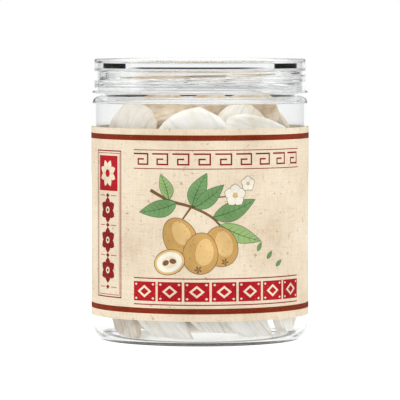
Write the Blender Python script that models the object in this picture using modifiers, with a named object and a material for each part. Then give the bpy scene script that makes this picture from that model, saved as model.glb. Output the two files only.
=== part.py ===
"""A clear screw-top jar filled with dried Chinese yam slices, with a paper label wrapped round it.

The origin is the centre of the jar's foot, +Z runs up the jar's axis and -Y is the label's printed front.
Each slice of yam is a solid of its own, dropped into the jar by a seeded rule until it meets the others.
"""

import math
import random

import bmesh
import bpy
import numpy as np
from mathutils import Euler, Matrix, Vector
from mathutils.bvhtree import BVHTree

# Driving dimensions, in metres
BODY_RADIUS = 0.0420
JAR_WALL = 0.0010
FOOT_RADIUS = 0.0380
FOOT_CORNER_HEIGHT = 0.0062
PUSH_UP = 0.0030
SHOULDER_HEIGHT = 0.0918
SHOULDER_TOP = 0.0946
NECK_RADIUS = 0.0383
NECK_WALL = 0.0014
NECK_TOP = 0.10465

LID_BOTTOM = 0.0957
LID_TOP = 0.1090
LID_RADIUS = 0.04125
LID_INNER_RADIUS = 0.0400
LID_PLATE = 0.0019
LID_EDGE = 0.0009
LID_PANEL_RADIUS = 0.0391
LID_PANEL_SLOPE = 0.0006
LID_PANEL_DEPTH = 0.0016
FLANGE_RADIUS = 0.0421
FLANGE_THICKNESS = 0.0007

THREAD_LEAD = 0.0050
THREAD_TURNS = 1.05
THREAD_RIDGE = 0.0010
NECK_THREAD_START = 0.0981
LID_THREAD_DROP = 0.00135

SEAL_INNER_RADIUS = 0.0364
SEAL_OUTER_RADIUS = 0.0388
SEAL_THICKNESS = 0.00065
SEAL_GAP = 0.0001

LABEL_BOTTOM = 0.0096
LABEL_TOP = 0.0828
LABEL_GAP = 0.00015
LABEL_THICKNESS = 0.0003

ROUND_STEPS = 72
RIDGE_STEP_DEG = 7.5
MERGE = 0.00001

# The slices: an oval cut of the root, dried until it curls
SLICE_SIDES = 14
SLICE_LENGTH = (0.036, 0.046)
SLICE_WIDTH = (0.025, 0.030)
SLICE_THICKNESS = (0.0034, 0.0047)
SLICE_SQUARENESS = (2.0, 2.9)
SLICE_RIM = 0.0011
SLICE_CURL = 0.0024
SLICE_TWIST = 0.0016
SLICE_GAP = 0.0002
WALL_GAP = 0.0004
DROP_STEP = 0.0024
FINE_STEP = 0.0003
RISE_STEP = 0.0020

# The pile: slices stood at the wall on the floor, slices at the wall under the shoulder, a loose fill between them,
# and a few that stand up into the neck. A slice that finds no room is left out.
# Each placed slice: azimuth, radius of its centre (0 is against the wall), lean, yaw, pitch (degrees), length and
# width (metres), and the height wanted for its top (0 is as low as it goes)
FLOOR_SLICES = [
    (-32, 0.0, 42, 14, -5, 0.046, 0.0160, 0.0),
    (0, 0.0, 40, 14, -5, 0.046, 0.0185, 0.0),
    (-70, 0.0, 45, 14, -5, 0.046, 0.0165, 0.0),
    (30, 0.0, 44, 14, -5, 0.046, 0.0165, 0.0),
    (62, 0.0, 42, 14, -5, 0.044, 0.0160, 0.0),
    (-99, 0.0, 40, 14, -5, 0.044, 0.0165, 0.0),
    (94, 0.0, 38, 14, -5, 0.044, 0.0170, 0.0),
    (126, 0.0, 42, 14, -5, 0.044, 0.0170, 0.0),
    (158, 0.0, 40, 14, -5, 0.044, 0.0170, 0.0),
    (-130, 0.0, 40, 14, -5, 0.044, 0.0170, 0.0),
    (-162, 0.0, 36, 14, -5, 0.044, 0.0170, 0.0),
]
SHOULDER_SLICES = [
    (2, 0.0, 34, 0, 4, 0.039, 0.028, 0.0915),
    (53, 0.0, 77, 4, 4, 0.042, 0.028, 0.0888),
    (-51, 0.0, -26, -4, 4, 0.038, 0.027, 0.0928),
    (41, 0.0285, -50, 4, 8, 0.041, 0.029, 0.0933),
    (-24, 0.0290, 80, 6, 8, 0.038, 0.026, 0.0925),
    (96, 0.0, 60, 0, 5, 0.038, 0.026, 0.0850),
    (-95, 0.0, -60, 0, 5, 0.038, 0.026, 0.0845),
    (138, 0.0, 50, 0, 5, 0.038, 0.027, 0.0900),
    (-140, 0.0, -50, 0, 5, 0.038, 0.026, 0.0900),
    (180, 0.0, 60, 0, 5, 0.038, 0.026, 0.0895),
]
# The last few stand in the middle and reach into the neck: x and y of the centre, yaw, and the top's height
NECK_SLICES = [
    (-0.0190, 0.0080, 20, 0.0966),
    (0.0210, 0.0040, -15, 0.0970),
    (-0.0030, 0.0160, 5, 0.0966),
]
NECK_LENGTH = 0.027
NECK_WIDTH = 0.019
NECK_SPREAD = 0.003
NECK_TRIES = 90
PLACED_SQUARENESS = 2.7
FLOOR_CUT = 0.0105
NEARBY = 80
INWARD_STEP = 0.0008
INWARD_STEPS = 20
FRONT_LINE = -0.006
SIDE_LINE = 0.0270
FRONT_FILL = 0.0800
SIDE_FILL = 0.0815
MIDDLE_FILL = 0.0925
LOOSE_SPREAD = 0.032
MISFITS = 4
BROKEN = 0.84
TRIES = 110
NUDGES = 400
NUDGE = 0.0012
NUDGE_DEG = 4.0
NUDGE_DOWN = 0.0005
MOST_SLICES = 45
SEED = 12

PET = ("clear_pet", (0.93, 0.96, 0.96, 1.0), 0.05)
STYRENE = ("clear_styrene", (0.96, 0.97, 0.97, 1.0), 0.04)
SEAL_GUM = ("seal_gum", (0.90, 0.90, 0.88, 1.0), 0.45)
LABEL_PAPER = ("label_paper", (0.86, 0.76, 0.60, 1.0), 0.75)
DRIED_YAM = ("dried_yam", (0.92, 0.89, 0.82, 1.0), 0.85)


def clear_scene():
    for old in list(bpy.data.objects):
        bpy.data.objects.remove(old)


def collection(name):
    made = bpy.data.collections.new(name)
    bpy.context.scene.collection.children.link(made)
    return made


def material(kind):
    name, colour, roughness = kind
    made = bpy.data.materials.get(name) or bpy.data.materials.new(name)
    made.use_nodes = True
    shader = made.node_tree.nodes["Principled BSDF"]
    shader.inputs["Base Color"].default_value = colour
    shader.inputs["Roughness"].default_value = roughness
    shader.inputs["Metallic"].default_value = 0.0
    return made


def add_object(name, mesh, kind, place):
    made = bpy.data.objects.new(name, mesh)
    mesh.materials.append(material(kind))
    place.objects.link(made)
    return made


def arc(centre, radii, start_deg, end_deg, steps):
    """Points of a quarter ellipse in the (radius, height) plane, from one angle to the other."""
    found = []
    for k in range(steps + 1):
        angle = math.radians(start_deg + (end_deg - start_deg) * k / steps)
        found.append((centre[0] + radii[0] * math.cos(angle), centre[1] + radii[1] * math.sin(angle)))
    return found


def turned(name, profile, kind, place, angle_deg=360.0, steps=ROUND_STEPS):
    """An object turned about Z from a profile that runs down its outer side."""
    mesh = bpy.data.meshes.new(name)
    points = [(radius, 0.0, height) for radius, height in profile]
    mesh.from_pydata(points, [(k, k + 1) for k in range(len(points) - 1)], [])
    made = add_object(name, mesh, kind, place)
    screw = made.modifiers.new("Turn", "SCREW")
    screw.angle = math.radians(angle_deg)
    screw.steps = steps
    screw.render_steps = steps
    screw.use_merge_vertices = angle_deg == 360.0
    screw.merge_threshold = MERGE
    screw.use_smooth_shade = True
    return made


def helical_ridge(name, radius, start_height, place):
    """A round thread ridge on a helix, thinned to nothing at both ends, as a mesh for a Boolean."""
    curve = bpy.data.curves.new(name, "CURVE")
    curve.dimensions = "3D"
    curve.bevel_depth = THREAD_RIDGE
    curve.bevel_resolution = 2
    curve.use_fill_caps = True
    count = round(THREAD_TURNS * 360.0 / RIDGE_STEP_DEG) + 1
    run_out = 6
    line = curve.splines.new("POLY")
    line.points.add(count - 1)
    for k, point in enumerate(line.points):
        angle = math.radians(RIDGE_STEP_DEG * k)
        height = start_height + THREAD_LEAD * RIDGE_STEP_DEG * k / 360.0
        point.co = (radius * math.cos(angle), radius * math.sin(angle), height, 1.0)
        point.radius = min(1.0, 0.35 + 0.65 * min(k, count - 1 - k) / run_out)
    source = bpy.data.objects.new(name + "_line", curve)
    place.objects.link(source)
    bpy.context.view_layer.update()
    graph = bpy.context.evaluated_depsgraph_get()
    mesh = bpy.data.meshes.new_from_object(source.evaluated_get(graph))
    welded = bmesh.new()
    welded.from_mesh(mesh)
    bmesh.ops.remove_doubles(welded, verts=welded.verts, dist=MERGE)
    bmesh.ops.recalc_face_normals(welded, faces=welded.faces)
    welded.to_mesh(mesh)
    welded.free()
    ridge = bpy.data.objects.new(name, mesh)
    ridge.matrix_world = source.matrix_world
    bpy.data.objects.remove(source)
    place.objects.link(ridge)
    ridge.hide_render = True
    ridge.display_type = "WIRE"
    return ridge


def join_ridge(part, ridge):
    union = part.modifiers.new("Thread", "BOOLEAN")
    union.operation = "UNION"
    union.object = ridge


def floor_points(raise_by, inset, steps=4):
    """The foot's section from the axis outwards: a domed push-up that runs down to the standing ring."""
    reach = FOOT_RADIUS - inset
    rise = PUSH_UP
    return [
        (reach * k / steps, raise_by + rise * 0.5 * (1.0 + math.cos(math.pi * k / steps)))
        for k in range(steps + 1)
    ]


def jar_inside():
    """The inner wall's section, from the floor's centre to the rim of the neck."""
    corner = BODY_RADIUS - JAR_WALL
    floor = floor_points(JAR_WALL, JAR_WALL)
    heel = arc((FOOT_RADIUS - JAR_WALL, FOOT_CORNER_HEIGHT),
               (corner - FOOT_RADIUS + JAR_WALL, FOOT_CORNER_HEIGHT - JAR_WALL), -90, 0, 4)
    neck = NECK_RADIUS - NECK_WALL
    shoulder = arc((neck, SHOULDER_HEIGHT), (corner - neck, SHOULDER_TOP - JAR_WALL - SHOULDER_HEIGHT), 0, 90, 4)
    return floor + heel[1:] + shoulder + [(neck, NECK_TOP - 0.0004), (neck + 0.0003, NECK_TOP)]


def jar_outside():
    """The outer wall's section, from the rim of the neck down to the centre of the foot."""
    shoulder = arc((NECK_RADIUS, SHOULDER_HEIGHT),
                   (BODY_RADIUS - NECK_RADIUS, SHOULDER_TOP - SHOULDER_HEIGHT), 90, 0, 4)
    heel = arc((FOOT_RADIUS, FOOT_CORNER_HEIGHT),
               (BODY_RADIUS - FOOT_RADIUS, FOOT_CORNER_HEIGHT), 0, -90, 5)
    foot = floor_points(0.0, 0.0015)
    return [(NECK_RADIUS - 0.0003, NECK_TOP), (NECK_RADIUS, NECK_TOP - 0.0004)] + shoulder + heel + foot[::-1]


def make_jar(place, cutters):
    jar = turned("jar", jar_inside() + jar_outside(), PET, place)
    join_ridge(jar, helical_ridge("neck_thread", NECK_RADIUS, NECK_THREAD_START, cutters))
    return jar


def make_lid(place, cutters):
    """The lid's section runs over its top, down the outside, round the flange and up the inside."""
    panel = LID_TOP - LID_PANEL_DEPTH
    under = LID_TOP - LID_PANEL_DEPTH - LID_PLATE
    edge = arc((LID_RADIUS - LID_EDGE, LID_TOP - LID_EDGE), (LID_EDGE, LID_EDGE), 90, 0, 3)
    inner = arc((LID_INNER_RADIUS - LID_EDGE, under - LID_EDGE), (LID_EDGE, LID_EDGE), 0, 90, 2)
    flange_top = LID_BOTTOM + FLANGE_THICKNESS
    profile = [(0.0, panel), (LID_PANEL_RADIUS, panel), (LID_PANEL_RADIUS + LID_PANEL_SLOPE, LID_TOP)]
    profile += edge
    profile += [(LID_RADIUS, flange_top + 0.0003), (FLANGE_RADIUS - 0.0001, flange_top)]
    profile += [(FLANGE_RADIUS, LID_BOTTOM + 0.0001), (FLANGE_RADIUS - 0.0001, LID_BOTTOM)]
    profile += [(LID_INNER_RADIUS, LID_BOTTOM)]
    profile += inner
    profile += [(0.0, under)]
    lid = turned("lid", profile, STYRENE, place)
    start = NECK_THREAD_START - LID_THREAD_DROP
    join_ridge(lid, helical_ridge("lid_thread", LID_INNER_RADIUS, start, cutters))
    return lid


def make_seal_ring(place):
    """A flat soft ring that the lid presses on the rim of the neck."""
    low = NECK_TOP + SEAL_GAP
    high = low + SEAL_THICKNESS
    inner, outer = SEAL_INNER_RADIUS, SEAL_OUTER_RADIUS
    return turned("seal_ring", [(inner, high), (outer, high), (outer, low), (inner, low), (inner, high)],
                  SEAL_GUM, place)


def make_label(place):
    """The paper sheet that is wrapped right round the body."""
    inner = BODY_RADIUS + LABEL_GAP
    outer = inner + LABEL_THICKNESS
    return turned("label", [(inner, LABEL_TOP), (outer, LABEL_TOP), (outer, LABEL_BOTTOM),
                            (inner, LABEL_BOTTOM), (inner, LABEL_TOP)], LABEL_PAPER, place)


def wall_section():
    """The jar's inner wall as lists of heights and radii, for keeping slices off it."""
    section = [p for p in jar_inside() if p[0] > FOOT_RADIUS - 1.5 * JAR_WALL and p[1] < NECK_TOP]
    return [p[1] for p in section], [p[0] for p in section]


WALL_HEIGHTS, WALL_RADII = wall_section()
FLOOR_REACH = FOOT_RADIUS - JAR_WALL


def outside_wall(points):
    """Whether any point is past the jar's inner wall or under its floor."""
    found = np.array(points)
    radius = np.hypot(found[:, 0], found[:, 1])
    if (radius > np.interp(found[:, 2], WALL_HEIGHTS, WALL_RADII) - WALL_GAP).any():
        return True
    share = np.minimum(1.0, radius / FLOOR_REACH)
    floor = JAR_WALL + PUSH_UP * 0.5 * (1.0 + np.cos(math.pi * share))
    return bool((found[:, 2] < floor + WALL_GAP).any())


def trimmed(point, cut):
    """The point moved back on to the straight cut that takes one end off some slices."""
    direction, limit = cut
    past = max(0.0, point.x * direction[0] + point.y * direction[1] - limit)
    return Vector((point.x - past * direction[0], point.y - past * direction[1], point.z))


def slice_mesh(name, size, squareness, cut, rng):
    """One slice: a bevelled disc drawn out to an uneven oval, then curled and twisted as it dries.

    Squareness 2 is an ellipse, and more of it gives straighter sides and blunter ends.
    """
    length, width, thickness = size
    start_radius = 0.5 * width
    made = bmesh.new()
    bmesh.ops.create_cone(made, cap_ends=True, segments=SLICE_SIDES, radius1=start_radius,
                          radius2=start_radius, depth=thickness)
    rims = [e for e in made.edges if abs(e.verts[0].co.z - e.verts[1].co.z) < MERGE]
    bmesh.ops.bevel(made, geom=rims, offset=SLICE_RIM, segments=1, profile=0.5, affect="EDGES", material=-1)
    caps = [f for f in made.faces if len(f.verts) == SLICE_SIDES]
    bmesh.ops.inset_region(made, faces=caps, thickness=start_radius * 0.42)
    caps = [f for f in made.faces if len(f.verts) == SLICE_SIDES]
    bmesh.ops.poke(made, faces=caps)
    waves = [(k, rng.uniform(-1.0, 1.0) * 0.055 / (k - 1), rng.uniform(0.0, math.tau)) for k in (2, 3, 4, 5)]
    curl = rng.uniform(-1.0, 1.0) * SLICE_CURL
    twist = rng.uniform(-1.0, 1.0) * SLICE_TWIST
    wedge = rng.uniform(-0.18, 0.18)
    for vert in made.verts:
        angle = math.atan2(vert.co.y, vert.co.x)
        share = math.hypot(vert.co.x, vert.co.y) / start_radius
        blunt = (abs(math.cos(angle)) ** squareness + abs(math.sin(angle)) ** squareness) ** (-1.0 / squareness)
        reach = blunt * (1.0 + sum(size * math.cos(k * angle + phase) for k, size, phase in waves))
        along = share * reach * math.cos(angle)
        across = share * reach * math.sin(angle)
        thick = vert.co.z * (1.0 + wedge * along)
        bend = curl * (along * along - 0.4) + twist * along * across
        vert.co = Vector((0.5 * length * along, 0.5 * width * across, thick + bend))
        if cut:
            vert.co = trimmed(vert.co, cut)
    bmesh.ops.triangulate(made, faces=[f for f in made.faces if len(f.verts) > 3])
    bmesh.ops.recalc_face_normals(made, faces=made.faces)
    mesh = bpy.data.meshes.new(name)
    made.to_mesh(mesh)
    made.free()
    return mesh


def swollen(mesh):
    """The slice's points moved out along their normals by the gap that it keeps to its neighbours."""
    return [v.co + v.normal * SLICE_GAP for v in mesh.vertices]


class Pile:
    """The slices that already lie in the jar."""

    def __init__(self):
        self.trees = []

    def meets(self, points, faces, centre, reach):
        near = [tree for tree, at, size in self.trees if (at - centre).length < size + reach]
        if not near:
            return False
        own = BVHTree.FromPolygons(points, faces)
        return any(own.overlap(tree) for tree in near)

    def add(self, points, faces, centre, reach):
        self.trees.append((BVHTree.FromPolygons(points, faces), centre.copy(), reach))


def past_body(points):
    limit = BODY_RADIUS - JAR_WALL - WALL_GAP
    return any(point.x * point.x + point.y * point.y > limit * limit for point in points)


def raised(points, x, y, z):
    step = Vector((x, y, z))
    return [p + step for p in points]


def sink(flat, faces, spot, height, pile, reach, steps):
    """Lowers a free slice by each step in turn until the next one would meet the pile, the wall or the floor."""
    lowest = min(p.z for p in flat)
    highest = max(p.z for p in flat)

    def free(tried):
        moved = raised(flat, 0.0, 0.0, tried)
        near_ends = tried + lowest < FOOT_CORNER_HEIGHT + PUSH_UP or tried + highest > SHOULDER_HEIGHT
        if near_ends and tried + highest < NECK_TOP and outside_wall(moved):
            return False
        return not pile.meets(moved, faces, Vector((spot[0], spot[1], tried)), reach)

    for step in steps:
        while free(height - step):
            height -= step
    return height


def floor_start(flat):
    """The lowest height at which the slice clears the floor and the jar's heel."""
    height = 0.030
    for step in (DROP_STEP, FINE_STEP):
        while not outside_wall(raised(flat, 0.0, 0.0, height - step)):
            height -= step
    return height


def lowest(shape, faces, spot, turn, pile, limit):
    """The lowest height at which the slice is clear of the floor and of the pile, or None above the limit."""
    flat = raised([turn @ p for p in shape], spot[0], spot[1], 0.0)
    if past_body(flat):
        return None
    reach = 1.15 * max(p.length for p in shape)
    height = floor_start(flat)
    while height < limit:
        moved = raised(flat, 0.0, 0.0, height)
        if not outside_wall(moved) and not pile.meets(moved, faces, Vector((spot[0], spot[1], height)), reach):
            return sink(flat, faces, spot, height, pile, reach, (FINE_STEP,))
        height += RISE_STEP
    return None


def settle(shape, faces, found, pile, rng):
    """Nudges and turns a dropped slice a little at a time, keeping each move that lets it sink further."""
    spot, turn, height = found
    reach = max(p.length for p in shape)
    for _ in range(NUDGES):
        axis = Vector((rng.gauss(0.0, 1.0), rng.gauss(0.0, 1.0), rng.gauss(0.0, 1.0)))
        tried_turn = Matrix.Rotation(math.radians(rng.gauss(0.0, NUDGE_DEG)), 3, axis.normalized()) @ turn
        x = spot[0] + rng.gauss(0.0, NUDGE)
        y = spot[1] + rng.gauss(0.0, NUDGE)
        tried = height - abs(rng.gauss(0.0, NUDGE_DOWN))
        moved = raised([tried_turn @ p for p in shape], x, y, tried)
        if outside_wall(moved) or pile.meets(moved, faces, Vector((x, y, tried)), reach):
            continue
        spot, turn, height = (x, y), tried_turn, tried
    return spot, turn, height


def facing(azimuth_deg, lean_deg, pitch_deg):
    """A slice stood on end with its face to the wall.

    Azimuth 0 is the label's front and +90 the +X side. Lean tips the top end to the left of someone who looks at
    that side, and pitch tips the face upwards.
    """
    upright = Matrix(((0, -1, 0), (0, 0, -1), (1, 0, 0)))
    lean = Matrix.Rotation(math.radians(-lean_deg), 3, "Y")
    pitch = Matrix.Rotation(math.radians(-pitch_deg), 3, "X")
    return Matrix.Rotation(math.radians(azimuth_deg), 3, "Z") @ pitch @ lean @ upright


def spot_at(azimuth_deg, radius):
    angle = math.radians(azimuth_deg)
    return (radius * math.sin(angle), -radius * math.cos(angle))


def fill_limit(points):
    """How high a loose slice may stand: low in front and at both sides, where the jar shows empty."""
    if min(p.y for p in points) < FRONT_LINE:
        return FRONT_FILL
    if max(abs(p.x) for p in points) > SIDE_LINE:
        return SIDE_FILL
    return MIDDLE_FILL


def wall_radius(shape, turn, azimuth_deg):
    """The largest radius at which the slice still clears the wall."""
    flat = [turn @ p for p in shape]
    radius = 0.037
    while radius > 0.0 and past_body(raised(flat, *spot_at(azimuth_deg, radius), 0.0)):
        radius -= 0.0003
    return radius


class Filler:
    """Makes the slices one after another and lays each on those before it."""

    def __init__(self, place):
        self.rng = random.Random(SEED)
        self.pile = Pile()
        self.place = place
        self.count = 0
        self.misfits = 0

    def new_shape(self, length, width, squareness, cut=None):
        size = (length, width, self.rng.uniform(*SLICE_THICKNESS))
        mesh = slice_mesh(f"slice_{self.count + 1:02d}", size, squareness, cut, self.rng)
        return mesh, swollen(mesh), [list(f.vertices) for f in mesh.polygons]

    def keep(self, mesh, shape, faces, found):
        spot, turn, height = found
        moved = raised([turn @ p for p in shape], spot[0], spot[1], height)
        centre = Vector((spot[0], spot[1], height))
        self.pile.add(moved, faces, centre, 1.15 * max(p.length for p in shape))
        mesh.transform(Matrix.Translation(centre) @ turn.to_4x4())
        self.count += 1
        made = add_object(mesh.name, mesh, DRIED_YAM, self.place)
        return made

    def beside_wall(self, placed):
        """Tries turns close to the wanted one, each as near the wall as the pile allows, and keeps the best.

        A slice with no wanted height stands on the floor, the lower the better. One with a wanted height has its
        top there, and the loose slices that are laid afterwards fill the space under it.
        """
        azimuth, centre_radius, lean, yaw, pitch, length, width, wanted = placed
        down = math.radians(180.0 - lean)
        cut = None if wanted else ((math.cos(down), math.sin(down)), FLOOR_CUT)
        loose = 1.0 if wanted else 0.35
        mesh, shape, faces = self.new_shape(length, width, PLACED_SQUARENESS, cut)
        reach = 1.15 * max(p.length for p in shape)
        best = None
        for k in range(NEARBY):
            spread = min(1.0, k / 20.0)
            at = azimuth + spread * self.rng.uniform(-4.0, 4.0)
            stretch = 1.0 + spread * self.rng.uniform(-0.10, 0.10)
            turn = facing(at + yaw + spread * self.rng.uniform(-12.0, 12.0),
                          lean + loose * spread * self.rng.uniform(-14.0, 14.0),
                          pitch + spread * self.rng.uniform(-6.0, 8.0)) @ Matrix.Diagonal((stretch, 1.0, 1.0))
            outermost = wall_radius(shape, turn, at)
            if centre_radius:
                outermost = min(outermost, centre_radius)
            flat_here = [turn @ p for p in shape]
            top = max(p.z for p in flat_here)
            for inward in range(INWARD_STEPS):
                spot = spot_at(at, outermost - INWARD_STEP * inward)
                flat = raised(flat_here, spot[0], spot[1], 0.0)
                start = wanted - top if wanted else floor_start(flat)
                moved = raised(flat, 0.0, 0.0, start)
                if outside_wall(moved) or self.pile.meets(moved, faces, Vector((spot[0], spot[1], start)), reach):
                    continue
                lift = 0.0 if wanted else min(p.z for p in moved) - JAR_WALL
                miss = lift + 0.15 * INWARD_STEP * inward + 0.0001 * abs(at - azimuth)
                if best is None or miss < best[0]:
                    best = (miss, spot, turn, start)
                if wanted:
                    break
        if best is None:
            print("no room for a placed slice at", azimuth)
            bpy.data.meshes.remove(mesh)
            return
        print(mesh.name, "at", azimuth, "misses by", round(1000 * best[0], 1), "mm")
        self.keep(mesh, shape, faces, best[1:])

    def fill(self, most):
        """Lays loose slices, each in the lowest of the places that it tries, until the next would stand too high.

        After each one that fits nowhere the next ones are smaller, as broken slices are, and they fill the top.
        """
        while self.count < most:
            length, width, squareness = (self.rng.uniform(*span) for span in
                                         (SLICE_LENGTH, SLICE_WIDTH, SLICE_SQUARENESS))
            smaller = BROKEN ** self.misfits
            mesh, shape, faces = self.new_shape(smaller * length, smaller * width, squareness)
            best = None
            for _ in range(TRIES):
                tilt = self.rng.gauss(0.0, 28.0)
                turn = Euler((math.radians(tilt), math.radians(self.rng.gauss(0.0, 28.0)),
                              self.rng.uniform(0.0, math.tau))).to_matrix()
                spot = spot_at(self.rng.uniform(0.0, 360.0), LOOSE_SPREAD * math.sqrt(self.rng.random()))
                moved = raised([turn @ p for p in shape], spot[0], spot[1], 0.0)
                limit = fill_limit(moved)
                ceiling = limit if best is None else min(limit, best[0])
                top = max(p.z for p in moved)
                height = lowest(shape, faces, spot, turn, self.pile, ceiling - top)
                if height is not None and height + top < ceiling:
                    best = (height + top, spot, turn, height)
            if best is None:
                bpy.data.meshes.remove(mesh)
                self.misfits += 1
                if self.misfits > MISFITS:
                    return
                continue
            self.keep(mesh, shape, faces, settle(shape, faces, best[1:], self.pile, self.rng))


    def into_neck(self, placed):
        """Lays a slice on the pile at the slant that brings its top closest to the wanted height."""
        x, y, yaw, wanted = placed
        mesh, shape, faces = self.new_shape(NECK_LENGTH, NECK_WIDTH, PLACED_SQUARENESS)
        best = None
        for k in range(NECK_TRIES):
            turn = Euler((math.radians(90.0 - self.rng.uniform(0.0, 90.0)), math.radians(self.rng.gauss(0.0, 20.0)),
                          math.radians(yaw))).to_matrix()
            top = max((turn @ p).z for p in shape)
            spot = (x + self.rng.gauss(0.0, NECK_SPREAD), y + self.rng.gauss(0.0, NECK_SPREAD))
            height = lowest(shape, faces, spot, turn, self.pile, wanted - top)
            if height is not None and (best is None or height + top > best[0]):
                best = (height + top, spot, turn, height)
        if best is None:
            print("no room for a slice in the neck at", x, y)
            bpy.data.meshes.remove(mesh)
            return
        print(mesh.name, "stands", round(1000 * best[0], 1), "mm high")
        self.keep(mesh, shape, faces, best[1:])


def main():
    clear_scene()
    part = collection("yam_slice_jar")
    cutters = collection("thread_ridges")
    make_jar(part, cutters)
    make_label(part)
    make_seal_ring(part)
    make_lid(part, cutters)
    filler = Filler(part)
    for placed in FLOOR_SLICES + SHOULDER_SLICES:
        filler.beside_wall(placed)
    filler.fill(MOST_SLICES)
    for placed in NECK_SLICES:
        filler.into_neck(placed)
    print(filler.count, "slices")


if __name__ == "__main__":
    main()
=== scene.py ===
# %% [markdown]
# # A jar of dried Chinese yam slices
# A clear screw-top jar, its paper label and the slices in it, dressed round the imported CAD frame.
# The jar and the lid are turned again with fine steps, because clear plastic shows every facet.
# The slices start from the CAD solids, so each one stays where it lies in the jar.

# %% Frame
import math
import random

import bmesh
import bpy
from mathutils import Matrix, Vector, noise


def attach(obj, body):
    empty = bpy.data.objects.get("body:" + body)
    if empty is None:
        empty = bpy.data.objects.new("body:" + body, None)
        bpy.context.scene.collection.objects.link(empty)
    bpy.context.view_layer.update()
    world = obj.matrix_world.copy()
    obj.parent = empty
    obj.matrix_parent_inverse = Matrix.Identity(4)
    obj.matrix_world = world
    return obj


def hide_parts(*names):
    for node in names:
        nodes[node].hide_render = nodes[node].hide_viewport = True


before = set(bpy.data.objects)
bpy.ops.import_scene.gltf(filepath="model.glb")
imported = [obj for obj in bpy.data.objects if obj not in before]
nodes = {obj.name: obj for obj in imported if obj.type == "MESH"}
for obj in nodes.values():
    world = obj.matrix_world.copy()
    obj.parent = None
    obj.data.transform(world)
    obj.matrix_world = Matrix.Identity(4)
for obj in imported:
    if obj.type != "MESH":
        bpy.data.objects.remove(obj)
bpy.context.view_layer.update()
slice_names = sorted(n for n in nodes if n.startswith("slice_"))
print(len(nodes), "CAD nodes,", len(slice_names), "of them slices")

# %% Sizes, in metres
MM = 0.001
ROUND_STEPS = 192
WELD = 2e-6

BODY_R, JAR_WALL = 42.0 * MM, 1.0 * MM
FOOT_R, FOOT_CORNER = 38.0 * MM, 6.2 * MM
PUSH_UP = 3.0 * MM
SHOULDER_Z, SHOULDER_TOP = 91.8 * MM, 94.6 * MM
NECK_R, NECK_WALL, NECK_TOP = 38.3 * MM, 1.4 * MM, 104.65 * MM

LID_BOTTOM, LID_TOP = 95.7 * MM, 109.0 * MM
LID_R, LID_INNER_R = 41.25 * MM, 40.0 * MM
LID_PLATE, LID_EDGE = 1.9 * MM, 0.9 * MM
PANEL_R, PANEL_SLOPE, PANEL_DEPTH = 39.1 * MM, 0.6 * MM, 1.6 * MM
FLANGE_R, FLANGE_THICK = 42.1 * MM, 0.7 * MM

THREAD_LEAD, THREAD_TURNS, THREAD_H = 5.0 * MM, 1.05, 1.0 * MM
NECK_THREAD_Z = 98.1 * MM
LID_THREAD_Z = NECK_THREAD_Z - 1.35 * MM

SEAL_IN, SEAL_OUT, SEAL_LOW, SEAL_HIGH = 36.4 * MM, 38.8 * MM, 104.75 * MM, 105.4 * MM
LABEL_IN, LABEL_OUT = 42.15 * MM, 42.45 * MM
LABEL_LOW, LABEL_HIGH = 9.6 * MM, 82.8 * MM
print("body", BODY_R / MM, "mm in radius, lid top at", LID_TOP / MM, "mm")


# %% [markdown]
# ## Helpers
# A material is a tree of nodes. Each helper adds one node, sets it and hands back its output, so that a
# material reads as a few lines of plain steps. The helpers for meshes turn a wall's section round the jar's
# axis, raise a screw thread from it, and give a finished mesh its body and its slot.

# %% Helpers for materials
def shader_of(name):
    """A new material and its Principled shader."""
    made = bpy.data.materials.new(name)
    made.use_nodes = True
    return made, made.node_tree.nodes["Principled BSDF"]


def add_node(tree, kind, **settings):
    made = tree.nodes.new(kind)
    for key, value in settings.items():
        setattr(made, key, value)
    return made


def noise_node(tree, vector, scale, detail=3.0, roughness=0.55):
    made = add_node(tree, "ShaderNodeTexNoise")
    made.inputs["Scale"].default_value = scale
    made.inputs["Detail"].default_value = detail
    made.inputs["Roughness"].default_value = roughness
    tree.links.new(vector, made.inputs["Vector"])
    return made.outputs["Fac"]


def ramp_node(tree, value, stops):
    """A colour ramp through (position, colour) stops."""
    made = add_node(tree, "ShaderNodeValToRGB")
    band = made.color_ramp
    while len(band.elements) < len(stops):
        band.elements.new(0.5)
    for element, (position, colour) in zip(band.elements, stops):
        element.position = position
        element.color = (*colour, 1.0)
    tree.links.new(value, made.inputs["Fac"])
    return made.outputs["Color"]


def mix_node(tree, factor, a, b, blend="MIX"):
    """Mixes two colours; each input is a socket or a plain value."""
    made = add_node(tree, "ShaderNodeMix", data_type="RGBA", blend_type=blend)
    for socket, value in ((made.inputs[0], factor), (made.inputs[6], a), (made.inputs[7], b)):
        if isinstance(value, bpy.types.NodeSocket):
            tree.links.new(value, socket)
        else:
            socket.default_value = value if isinstance(value, float) else (*value, 1.0)
    return made.outputs[2]


def math_node(tree, operation, a, b=0.0):
    made = add_node(tree, "ShaderNodeMath", operation=operation)
    for socket, value in zip(made.inputs, (a, b)):
        if isinstance(value, bpy.types.NodeSocket):
            tree.links.new(value, socket)
        else:
            socket.default_value = value
    return made.outputs[0]


def bump_node(tree, height, strength, distance):
    made = add_node(tree, "ShaderNodeBump")
    made.inputs["Strength"].default_value = strength
    made.inputs["Distance"].default_value = distance
    tree.links.new(height, made.inputs["Height"])
    return made.outputs["Normal"]


def coordinates(tree, which="Object"):
    return add_node(tree, "ShaderNodeTexCoord").outputs[which]


def stretched(tree, vector, scale):
    made = add_node(tree, "ShaderNodeMapping")
    made.inputs["Scale"].default_value = scale
    tree.links.new(vector, made.inputs["Vector"])
    return made.outputs["Vector"]


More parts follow.
